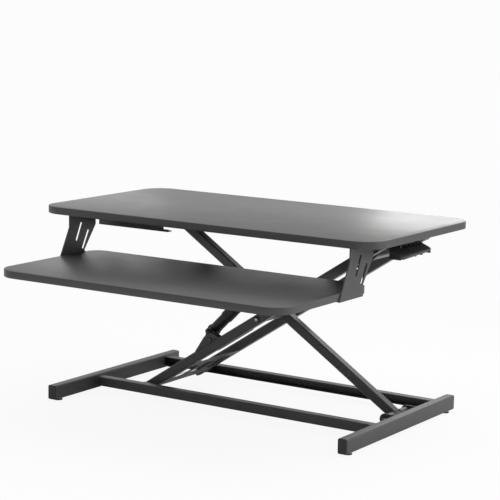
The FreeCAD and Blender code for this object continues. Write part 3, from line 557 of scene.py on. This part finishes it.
SOFTENED = {
    "charcoal_powder_coat": 0.0004,
    "black_plastic": 0.0003,
    "slide_nylon": 0.0004,
    "zinc_fasteners": 0.0002,
    "black_screws": 0.0001,
}
for node_name, node in NODES.items():
    slot_name = SLOT_OF[node_name]
    node.data.materials.clear()
    node.data.materials.append(MATERIALS[slot_name])
    if slot_name in SOFTENED:
        soften(node, SOFTENED[slot_name])
# Bolts that get a painted glint, and how bright each one's glint is painted.
for node_name, glint in (("centre_axle", 1.0), ("upper_pivot_bolts", 1.0), ("lower_pivot_bolt", 1.0),
                         ("gusset_bolt", 0.25), ("rod_eye_bolt", 0.1)):
    NODES[node_name].data.materials[0] = bolt_with_painted_glint(node_name, glint)
NODES["spring_sleeve"].data.materials[0] = SLEEVE_BLACK


# ---------------------------------------------------------------- boards

def board(name, node, radii):
    """Laminated panel with a thin band wrapped round its edge and a hairline seam between them."""
    low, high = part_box(node)
    corners = [Vector((x, y, 0)) for x, y in
               ((low.x, low.y), (high.x, low.y), (high.x, high.y), (low.x, high.y))]
    outline = rounded_outline(corners, radii)
    band, gap, panel_ease, tuck = 0.0012, 0.0001, 0.0002, 0.00005
    panel = stacked(outline, eased(band + gap, low.z, high.z, panel_ease, 2))
    profile = eased(0.0, low.z, high.z, band)[1:-1]
    inner = [(band, high.z - tuck), (band, low.z + tuck)]
    rim = stacked(outline, profile + inner, closed=True)
    piece(name + "_panel", panel, MATERIALS["dark_laminate"], "desktop", (node,))
    piece(name + "_edge_band", rim, EDGE_BAND, "desktop", (node,))


board("desktop", "desktop_board", (0.050, 0.050, 0.050, 0.050))
board("tray", "keyboard_tray", (0.047, 0.047, 0.032, 0.032))


# ---------------------------------------------------------------- welds

BEAD = 0.0016
FINE_BEAD = 0.0014


def weld(name, paths, body, size=BEAD):
    """All the weld beads of one body as one painted piece."""
    shapes = [bead(path, size, number) for number, path in enumerate(paths)]
    piece(name, join(*shapes), MATERIALS["charcoal_powder_coat"], body, sharp=60)


def base_welds():
    """Beads round the crossbar ends, left open across the mouth that the slide shoes run in."""
    corner_radius = 0.002
    paths = []
    for node in ("front_crossbar", "rear_crossbar"):
        low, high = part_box(node)
        closed, mouth = (low.y, high.y) if node == "front_crossbar" else (high.y, low.y)
        for x in (low.x, high.x):
            corners = [(x, closed, low.z), (x, closed, high.z), (x, mouth, high.z)]
            paths.append(bend(corners, corner_radius, 4))
    low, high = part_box("lower_pivot_bracket")
    for z in (low.z, high.z):
        paths.append([Vector((high.x, low.y, z)), Vector((high.x, high.y, z))])
    weld("base_welds", paths, "base")


def outer_arm_welds():
    """Beads along the gusset's two sheets, round the upper tie and along the tie plate."""
    half = ARM_SIZE / 2
    sheet, edge_inset, edge_drop, end_gap = 0.003, 0.0006, 0.0008, 0.002
    tie_overlap, tie_radius, plate_gap, plate_rise = 0.003, 0.003, 0.003, 0.002
    paths = []
    start, end = span("spring_gusset", CROSSING, OUTER_DIR)
    outer_face = -span("spring_gusset", CROSSING, ACROSS)[0]
    inner_face = outer_face - ARM_SIZE
    for face, drop in ((outer_face - edge_inset, edge_drop), (outer_face - sheet, 0),
                       (inner_face + edge_inset, edge_drop), (inner_face + sheet, 0)):
        paths.append([on_outer(along, -face, half - drop) for along in (start + end_gap, end - end_gap)])
    low, high = span("outer_arm_upper_tie", CROSSING, OUTER_DIR)
    for side in SIDES:
        corners = [on_outer(u, side * inner_face, w) for u, w in
                   ((low, -half), (high, -half), (high, half), (low, half), (low, -half + tie_overlap))]
        paths.append(bend(corners, tie_radius, 4))
    low, high = span("outer_arm_lower_plate", CROSSING, OUTER_DIR)
    for side in SIDES:
        paths.append([on_outer(along, side * inner_face, -half + plate_rise)
                      for along in (low + plate_gap, high - plate_gap)])
    weld("outer_arm_welds", paths, "outer_arm")


def sleeve_ends(node):
    """Centres of the beads where a round tube leaves the inner arm's two sides, and the beads' radius."""
    low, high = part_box(node)
    centre = (low + high) / 2
    centres = [Vector((centre.x, CROSSING.y + side * ARM_SIZE / 2, centre.z)) for side in SIDES]
    return centres, (high.x - low.x) / 2 + 0.0004


def inner_arm_welds():
    """Beads round the sleeves that cross the inner arm, and over the arm's side of its end sleeve."""
    paths = []
    for node in ("inner_arm_centre_sleeve", "inner_arm_spring_tube"):
        centres, radius = sleeve_ends(node)
        paths += [ring_path(centre, ACROSS, radius) for centre in centres]
    centres, radius = sleeve_ends("inner_arm_lower_sleeve")
    turn = [math.radians(angle) for angle in range(-96, 97, 8)]
    for centre in centres:
        paths.append([centre + (INNER_DIR * math.cos(a) + INNER_UP * math.sin(a)) * radius for a in turn])
    weld("inner_arm_welds", paths, "inner_arm", FINE_BEAD)


base_welds()
outer_arm_welds()
inner_arm_welds()


# ---------------------------------------------------------------- nuts

def nut(face, axis, flats, bore, height):
    """Lock nut: a chamfered hexagon with a round collar that holds the locking ring."""
    steps = 36
    per_side = steps // 6
    one = axis.orthogonal().normalized()
    two = axis.cross(one)
    across_corners = flats / math.sqrt(3)
    chamfer = flats * 0.06
    hex_height = height * 0.72
    collar_foot, collar_top, collar_rim = flats * 0.44, flats * 0.43, flats * 0.40
    rim_height, lip_height, lip = height * 0.95, height * 0.9, 0.0012

    def ring(along, radii):
        turns = [2 * math.pi * i / steps for i in range(steps)]
        return [face + axis * along + (one * math.cos(a) + two * math.sin(a)) * radius
                for a, radius in zip(turns, radii)]

    def circle(along, radius):
        return ring(along, [radius] * steps)

    half_side = math.pi / 6
    hexagon = [across_corners * math.cos(half_side)
               / math.cos(i % per_side * 2 * math.pi / steps - half_side) for i in range(steps)]
    rings = [circle(0, bore), circle(0, flats / 2), ring(chamfer, hexagon),
             ring(hex_height - chamfer, hexagon), circle(hex_height, flats / 2),
             circle(hex_height, collar_foot), circle(rim_height, collar_top),
             circle(height, collar_rim), circle(height, bore + lip), circle(lip_height, bore)]
    return skin(rings, closed=True)


def nuts(name, node, body, bore):
    """Lock nuts in place of a node's plain hexagons; each one's open face is away from its bearing face."""
    slot = SLOT_OF[node]
    shapes = []
    for low, high, outward in solids_across(node):
        centre = (low + high) / 2
        flats = high.x - low.x
        height = high.y - low.y
        face_y = low.y if outward > 0 else high.y
        face = Vector((centre.x, face_y, centre.z))
        shapes.append(nut(face, ACROSS * outward, flats, bore, height))
    piece(name, join(*shapes), MATERIALS[slot], body, (node,))


def solids_across(node):
    """Boxes of a node's solids in front of and behind the lift, with the way that each one's nut faces."""
    points = [Vector(v.co) for v in NODES[node].data.vertices]
    middle = CROSSING.y
    groups = []
    for side in SIDES:
        part = [p for p in points if (p.y - middle) * side > 0]
        if part:
            low = Vector([min(p[i] for p in part) for i in range(3)])
            high = Vector([max(p[i] for p in part) for i in range(3)])
            groups.append((low, high, side * NUT_FACES[node]))
    return groups


NUT_FACES = {"lower_pivot_nut": 1, "centre_axle_nut": 1, "spring_pin_nut": 1, "gusset_bolt_nut": -1,
             "upper_pivot_nuts": -1}
nuts("lower_pivot_lock_nut", "lower_pivot_nut", "base", 0.005)
nuts("centre_axle_lock_nut", "centre_axle_nut", "outer_arm", 0.005)
nuts("spring_pin_lock_nut", "spring_pin_nut", "outer_arm", 0.004)
nuts("gusset_lock_nut", "gusset_bolt_nut", "outer_arm", 0.003)
nuts("upper_pivot_lock_nuts", "upper_pivot_nuts", "desktop", 0.005)


# ---------------------------------------------------------------- release handles

GRIP_UNDERSIDE = -0.0004
GRIP_THICK = 0.006
GRIP_SLOPE = math.radians(25)
NOTCH_DEPTH = 0.010
HUB_FRONT = 0.026
HUB_REAR = 0.0335
HUB_RADIUS = 0.008
HANDLE_PIN = 0.003
WALL_INNER = 0.366
WALL_OUTER = 0.392
WALL_PLACES = (0.012, 0.034, 0.072, 0.098, 0.131)
WALL_THICK = 0.003
WALL_HEIGHTS = (0.0045, 0.0175)
RIB_COUNT = 11
RIB_PITCH = 0.0085
RIB_SIZE = (0.019, 0.0022, 0.0016)
RIB_FROM_FRONT = 0.030
RIB_FROM_TIP = 0.0165
WEB_COUNT = 4
WEB_PITCH = 0.0155
WEB_SIZE = (0.016, 0.0026, 0.0034)
WEB_FROM_HUB_END = 0.006
WEB_OUT = 0.012


def grip_outline(near, far, front, rear):
    """Corners and corner radii of the grip, in its own plane, with notches for two bracket ears."""
    ear_front, ear_rear = -HUB_FRONT - 0.015, HUB_REAR + 0.006
    notch_radii = [0.0028, 0.0015, 0.0015, 0.0028]
    sides = [(far - 0.035, front), (far, front), (far - 0.006, rear), (near, rear - 0.004),
             (near, ear_rear), (NOTCH_DEPTH, ear_rear), (NOTCH_DEPTH, HUB_REAR), (near, HUB_REAR),
             (near, -HUB_FRONT), (NOTCH_DEPTH, -HUB_FRONT), (NOTCH_DEPTH, ear_front), (near, ear_front),
             (near, front + 0.030)]
    return [Vector((out, y, 0)) for out, y in sides], [0.008] * 4 + notch_radii * 2 + [0.006]


def paddle(word):
    """Moulded grip that slopes outwards from a hub on the handle pin, with ribs, webs and walls."""
    node = word + "_release_paddle"
    side = -1 if word == "left" else 1
    low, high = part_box(node)
    axis = pivot(word + "_paddle_squeeze")
    outwards = Vector((side * math.cos(GRIP_SLOPE), 0, -math.sin(GRIP_SLOPE)))
    near, far = span(node, axis, outwards)
    front, rear = low.y - axis.y, high.y - axis.y
    top = GRIP_UNDERSIDE + GRIP_THICK
    corners, radii = grip_outline(near, far, front, rear)
    grip = stacked(rounded_outline(corners, radii, 8), eased(0.0, GRIP_UNDERSIDE, top, 0.0024, 6))
    out = Vector((1, 0, 0))
    ribs = [block(Vector((far - RIB_FROM_TIP, front + RIB_FROM_FRONT + i * RIB_PITCH, face)),
                  out, ACROSS, UP, RIB_SIZE)
            for i in range(RIB_COUNT) for face in (top, GRIP_UNDERSIDE)]
    bore, ease = HANDLE_PIN + 0.00005, 0.001
    profile = [(-HUB_FRONT, bore), (-HUB_FRONT, HUB_RADIUS - ease), (ease - HUB_FRONT, HUB_RADIUS),
               (HUB_REAR - ease, HUB_RADIUS), (HUB_REAR, HUB_RADIUS - ease), (HUB_REAR, bore)]
    hub = lathe(profile, Vector((0, 0, 0)), ACROSS, closed=True)
    webs = [block(Vector((WEB_OUT, -HUB_FRONT + WEB_FROM_HUB_END + i * WEB_PITCH, top)),
                  out, ACROSS, UP, WEB_SIZE) for i in range(WEB_COUNT)]
    points, faces = join(grip, hub, *ribs, *webs)
    slope = Matrix.Rotation(GRIP_SLOPE, 3, "Y")
    sloped = ([slope @ p + Vector((abs(axis.x), axis.y, axis.z)) for p in points], faces)
    floor = low.z
    short, tall = WALL_HEIGHTS
    profile = [(WALL_INNER, floor), (WALL_OUTER, floor),
               (WALL_OUTER, floor + short), (WALL_INNER, floor + tall)]
    walls = [standing(profile, 0.0016, y, y + WALL_THICK, 0.0007) for y in WALL_PLACES]
    shape = join(sloped, *walls)
    if side < 0:
        shape = mirrored(shape)
    piece(word + "_moulded_paddle", shape, MATERIALS["black_plastic"], word + "_paddle",
          (node,))


def return_springs():
    """Wound torsion spring on each handle pin, with a leg on the bracket and a leg on the paddle."""
    wire, radius, turns = 0.0006, 0.005, 4.25
    steps = int(turns * 24)
    low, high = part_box("paddle_springs")
    shapes = []
    for word, side in (("left", -1), ("right", 1)):
        axis = pivot(word + "_paddle_squeeze")
        coil = []
        for i in range(steps + 1):
            a = math.radians(90) + 2 * math.pi * turns * i / steps
            y = low.y + wire + (high.y - low.y - 2 * wire) * i / steps
            coil.append(Vector((axis.x + side * radius * math.cos(a), y, axis.z + radius * math.sin(a))))
        first = coil[0] + Vector((side * 0.009, 0, 0.0022))
        last = coil[-1] + Vector((0, 0, -0.006))
        shapes.append(sweep([first] + coil + [last], wire, 8))
    piece("wound_return_springs", join(*shapes), MATERIALS["spring_wire"], "desktop",
          ("paddle_springs",), sharp=70)


paddle("left")
paddle("right")
return_springs()


# ---------------------------------------------------------------- release cables

def ferrule(path_end, towards, radius):
    """Crimped cable end: a stepped sleeve."""
    profile = [(-0.001, radius * 0.7), (0, radius * 1.35), (0.004, radius * 1.35), (0.0045, radius * 1.2),
               (0.0115, radius * 1.2), (0.012, radius * 1.35), (0.014, radius * 1.35), (0.0145, radius * 0.9)]
    return lathe(profile, path_end, towards, 24)


CABLE_RADIUS = 0.0022
CABLE_BELOW_BOARD = 0.0026
CABLE_LOOP = 0.0195
CABLE_STEP = 0.012


def release_cable(word, side, row):
    """Sheathed cable: along the desktop, round the top pivot and down the inside of the front arm."""
    from_handle, before_loop, foot_gap, shortest = 0.030, 0.020, 0.016, 0.0004
    desktop_bend, arm_bend = 0.018, 0.010
    low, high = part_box("desktop_cables")
    y = CROSSING.y + row
    top_z = high.z - CABLE_BELOW_BOARD
    reach = high.x if side > 0 else low.x
    start = Vector((reach, HANDLE_END_Y, top_z))
    bend_in = Vector((reach - side * from_handle, HANDLE_END_Y, top_z))
    centre = pivot("desktop_level")
    at = Vector((centre.x, y, centre.z))
    loop = []
    for i in range(13):
        a = math.radians(140 + 100 * i / 12)
        loop.append(at + Vector((math.cos(a), 0, math.sin(a))) * CABLE_LOOP)
    before = Vector((loop[0].x - before_loop, y, top_z))
    foot = (SPRING_FOOT - CROSSING).dot(OUTER_DIR) - foot_gap
    ledge = [on_outer(along, row, above) for along, above in
             ((ARM_HALF - 0.044, -0.013), (ARM_HALF - 0.064, -0.013), (ARM_HALF - 0.080, -0.007),
              (0.026, 0.007), (0.014, 0.0112), (-0.014, 0.0112), (-0.026, 0.007), (-0.040, -0.007),
              (foot, -0.007), (foot, 0.010))]
    path = bend([start, bend_in, before, loop[0]], desktop_bend, 8)
    path += loop[1:] + bend([loop[-1]] + ledge, arm_bend, 5)[1:]
    even = [path[0]]
    for a, b in zip(path, path[1:]):
        parts = max(1, int((b - a).length / CABLE_STEP))
        even += [a.lerp(b, (i + 1) / parts) for i in range(parts) if (b - a).length > shortest]
    ends = []
    for tip, inner in ((even[0], even[1]), (even[-1], even[-2])):
        ends.append(ferrule(tip + (inner - tip).normalized() * 0.0005, inner - tip, CABLE_RADIUS))
    made = piece(word + "_release_cable", join(sweep(even, CABLE_RADIUS), *ends), MATERIALS["cable_sheath"],
                 None, ("desktop_cables", "arm_cables"), sharp=50)
    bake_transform(made)


HANDLE_END_Y = pivot("right_paddle_squeeze").y + 0.023
CABLE_INSET = 0.0025
front_row, rear_row = span("arm_cables", CROSSING, ACROSS)
release_cable("right", 1, front_row + CABLE_INSET)
release_cable("left", -1, rear_row - CABLE_INSET)


# ---------------------------------------------------------------- rubber feet

def foot_pads():
    """Round pads with moulded rings underneath and a soft lip."""
    low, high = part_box("foot_pads")
    radius, height, bore = 0.009, high.z - low.z, 0.0032
    groove = 0.0006
    profile = [(0.0, 0.0035)]
    for inner in (0.0040, 0.0056, 0.0072):
        profile += [(0.0, inner), (groove, inner + 0.0003), (groove, inner + 0.0010), (0.0, inner + 0.0013)]
    profile += [(0.0003, radius - 0.0001), (0.0009, radius), (height - 0.0005, radius - 0.0010),
                (height, radius - 0.0016), (height, bore), (0.0010, bore)]
    shapes = [lathe(profile, Vector((x, y, low.z)), UP, 40, closed=True)
              for x in (low.x + radius, high.x - radius) for y in (low.y + radius, high.y - radius)]
    piece("ridged_foot_pads", join(*shapes), MATERIALS["pad_rubber"], "base", ("foot_pads",))


foot_pads()


# ---------------------------------------------------------------- stage, light and camera

FLOOR_RADIUS = 14.0
FLOOR_SIDES = 96
WHITE = 0.975
FRONT_GLOW = 0.20
REAR_GLOW = 0.80
SIDE_GLOW = 0.60
CAMERA_PLACE = Vector((1.974, -2.939, 0.908))
CAMERA_YAW = math.radians(33.12)
CAMERA_DROP = math.radians(9.06)
CAMERA_ROLL = math.radians(1.1)
CAMERA_LENS = 128.0


def make_floor():
    """Plain pale floor: catches a faint contact shadow and fades to white further out."""
    bottom = cad_low.z
    points = [Vector((FLOOR_RADIUS * math.cos(a), FLOOR_RADIUS * math.sin(a), bottom))
              for a in (2 * math.pi * i / FLOOR_SIDES for i in range(FLOOR_SIDES))]
    mesh = bpy.data.meshes.new("floor")
    mesh.from_pydata([tuple(p) for p in points], [], [tuple(range(FLOOR_SIDES))])
    floor = bpy.data.objects.new("floor", mesh)
    bpy.context.scene.collection.objects.link(floor)
    look = Look("floor_white")
    tree = look.tree
    output = tree.nodes["Material Output"]
    distance = look.node("ShaderNodeVectorMath", operation="LENGTH")
    look.link(look.place, distance.inputs[0])
    far = look.spread(distance.outputs["Value"], 0.93, 1.0, 0.5, 1.6)
    glow = look.node("ShaderNodeEmission")
    glow.inputs["Color"].default_value = (WHITE, WHITE, WHITE, 1)
    matt = look.node("ShaderNodeBsdfDiffuse")
    matt.inputs["Color"].default_value = (0.86, 0.86, 0.86, 1)
    seen = look.node("ShaderNodeMixShader")
    look.link(far, seen.inputs[0])
    look.link(matt.outputs[0], seen.inputs[1])
    look.link(glow.outputs[0], seen.inputs[2])
    bounce = look.node("ShaderNodeMixShader")
    look.link(look.node("ShaderNodeLightPath").outputs["Is Camera Ray"], bounce.inputs[0])
    look.link(matt.outputs[0], bounce.inputs[1])
    look.link(seen.outputs[0], bounce.inputs[2])
    look.link(bounce.outputs[0], output.inputs["Surface"])
    mesh.materials.append(look.material)


def make_world():
    """White to the camera; to the object, a room that is bright behind it and to its sides."""
    world = bpy.data.worlds.new("studio")
    bpy.context.scene.world = world
    world.use_nodes = True
    tree = world.node_tree
    background = tree.nodes["Background"]
    place = tree.nodes.new("ShaderNodeTexCoord")

    def facing(direction, start, end, low, high):
        dot = tree.nodes.new("ShaderNodeVectorMath")
        dot.operation = "DOT_PRODUCT"
        dot.inputs[1].default_value = direction
        tree.links.new(place.outputs["Generated"], dot.inputs[0])
        spread = tree.nodes.new("ShaderNodeMapRange")
        spread.interpolation_type = "SMOOTHSTEP"
        tree.links.new(dot.outputs["Value"], spread.inputs["Value"])
        for key, value in (("From Min", start), ("From Max", end), ("To Min", low), ("To Max", high)):
            spread.inputs[key].default_value = value
        return spread.outputs["Result"]

    def both(one, two, operation):
        math_node = tree.nodes.new("ShaderNodeMath")
        math_node.operation = operation
        tree.links.new(one, math_node.inputs[0])
        tree.links.new(two, math_node.inputs[1])
        return math_node.outputs[0]

    ahead = (-math.sin(CAMERA_YAW), math.cos(CAMERA_YAW), 0)
    right = (math.cos(CAMERA_YAW), math.sin(CAMERA_YAW), 0)
    room = facing(ahead, -0.6, 0.9, FRONT_GLOW, REAR_GLOW)
    sides = facing(right, -0.3, 0.9, 0.0, SIDE_GLOW)
    glow = both(room, sides, "ADD")
    path = tree.nodes.new("ShaderNodeLightPath")
    mix = tree.nodes.new("ShaderNodeMix")
    mix.data_type = "RGBA"
    tree.links.new(path.outputs["Is Camera Ray"], mix.inputs["Factor"])
    tree.links.new(glow, mix.inputs[6])
    mix.inputs[7].default_value = (WHITE, WHITE, WHITE, 1)
    tree.links.new(mix.outputs[2], background.inputs["Color"])


def area_light(name, place, target, size, power):
    """Rectangular lamp aimed at a point. It can't be seen by the camera."""
    light = bpy.data.lights.new(name, "AREA")
    light.shape = "RECTANGLE"
    light.size, light.size_y = size
    light.energy = power
    lamp = bpy.data.objects.new(name, light)
    bpy.context.scene.collection.objects.link(lamp)
    lamp.visible_camera = False
    lamp.location = place
    lamp.rotation_mode = "QUATERNION"
    lamp.rotation_quaternion = (Vector(target) - Vector(place)).to_track_quat("-Z", "Y")


def make_camera():
    """Camera at the photograph's angle, which looks a little down and is slightly rolled."""
    data = bpy.data.cameras.new("camera")
    data.lens = CAMERA_LENS
    data.sensor_width = 36.0
    camera = bpy.data.objects.new("camera", data)
    bpy.context.scene.collection.objects.link(camera)
    flat = math.cos(CAMERA_DROP)
    forward = Vector((-math.sin(CAMERA_YAW) * flat, math.cos(CAMERA_YAW) * flat, -math.sin(CAMERA_DROP)))
    right = Vector((math.cos(CAMERA_YAW), math.sin(CAMERA_YAW), 0))
    up = right.cross(forward)
    tilted_right = right * math.cos(CAMERA_ROLL) + up * math.sin(CAMERA_ROLL)
    tilted_up = up * math.cos(CAMERA_ROLL) - right * math.sin(CAMERA_ROLL)
    turn = Matrix((tilted_right, tilted_up, -forward)).transposed()
    camera.matrix_world = Matrix.Translation(CAMERA_PLACE) @ turn.to_4x4()
    bpy.context.scene.camera = camera


make_floor()
make_world()
make_camera()
area_light("overhead", (0.2, 0.2, 2.6), (0, 0.1, 0.2), (2.6, 2.6), 40)
area_light("front_left", (-2.4, -2.2, 1.6), (0, 0, 0.25), (1.6, 1.6), 14)
area_light("right_side", (2.8, 0.6, 1.4), (0, 0.1, 0.25), (1.4, 1.8), 30)
area_light("by_camera", (1.6, -2.4, 1.2), (0.2, 0, 0.3), (0.8, 0.8), 8)
area_light("right_rear_card", (-0.02, 1.10, 0.64), (0.30, 0.20, 0.41), (0.40, 0.40), 1.6)
area_light("left_rear_card", (-1.25, 1.10, 0.64), (-0.36, 0.10, 0.41), (0.40, 0.40), 0.4)
bpy.context.scene.view_settings.view_transform = "Standard"
